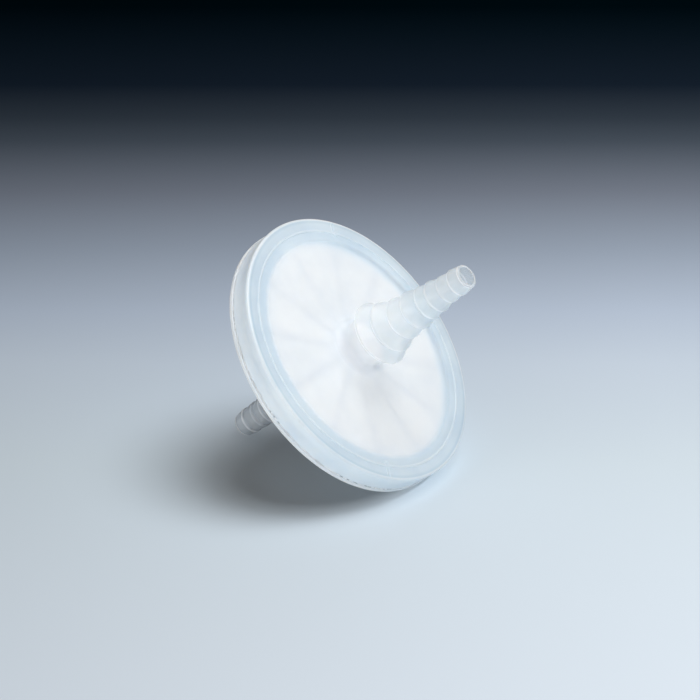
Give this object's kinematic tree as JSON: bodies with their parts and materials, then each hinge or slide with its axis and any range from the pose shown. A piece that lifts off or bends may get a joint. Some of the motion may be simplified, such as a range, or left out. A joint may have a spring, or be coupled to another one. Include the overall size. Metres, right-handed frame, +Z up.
{
  "type": "disc filter with stepped hose nozzles",
  "caption": "Round translucent disc filter holding a flat white membrane, with a stepped hose nozzle on each side. It lies on its rim and one nozzle.",
  "frame": {"origin": "on the surface that it lies on, under the centre of its bounding box", "axes": "+Z up; the filter's own axis lies in the XZ plane, leaning 40.6 degrees up towards +X at the inlet; +Y across the disc"},
  "size_m": [0.0562, 0.06, 0.0491],
  "materials": {
    "housing": "translucent polypropylene, satin",
    "membrane": "white porous film, matt",
    "fleece": "white non-woven, matt"
  },
  "bodies": {
    "root": {"inlet_shell": "housing", "outlet_shell": "housing", "membrane": "membrane", "support_fleece": "fleece"}
  },
  "joints": []
}
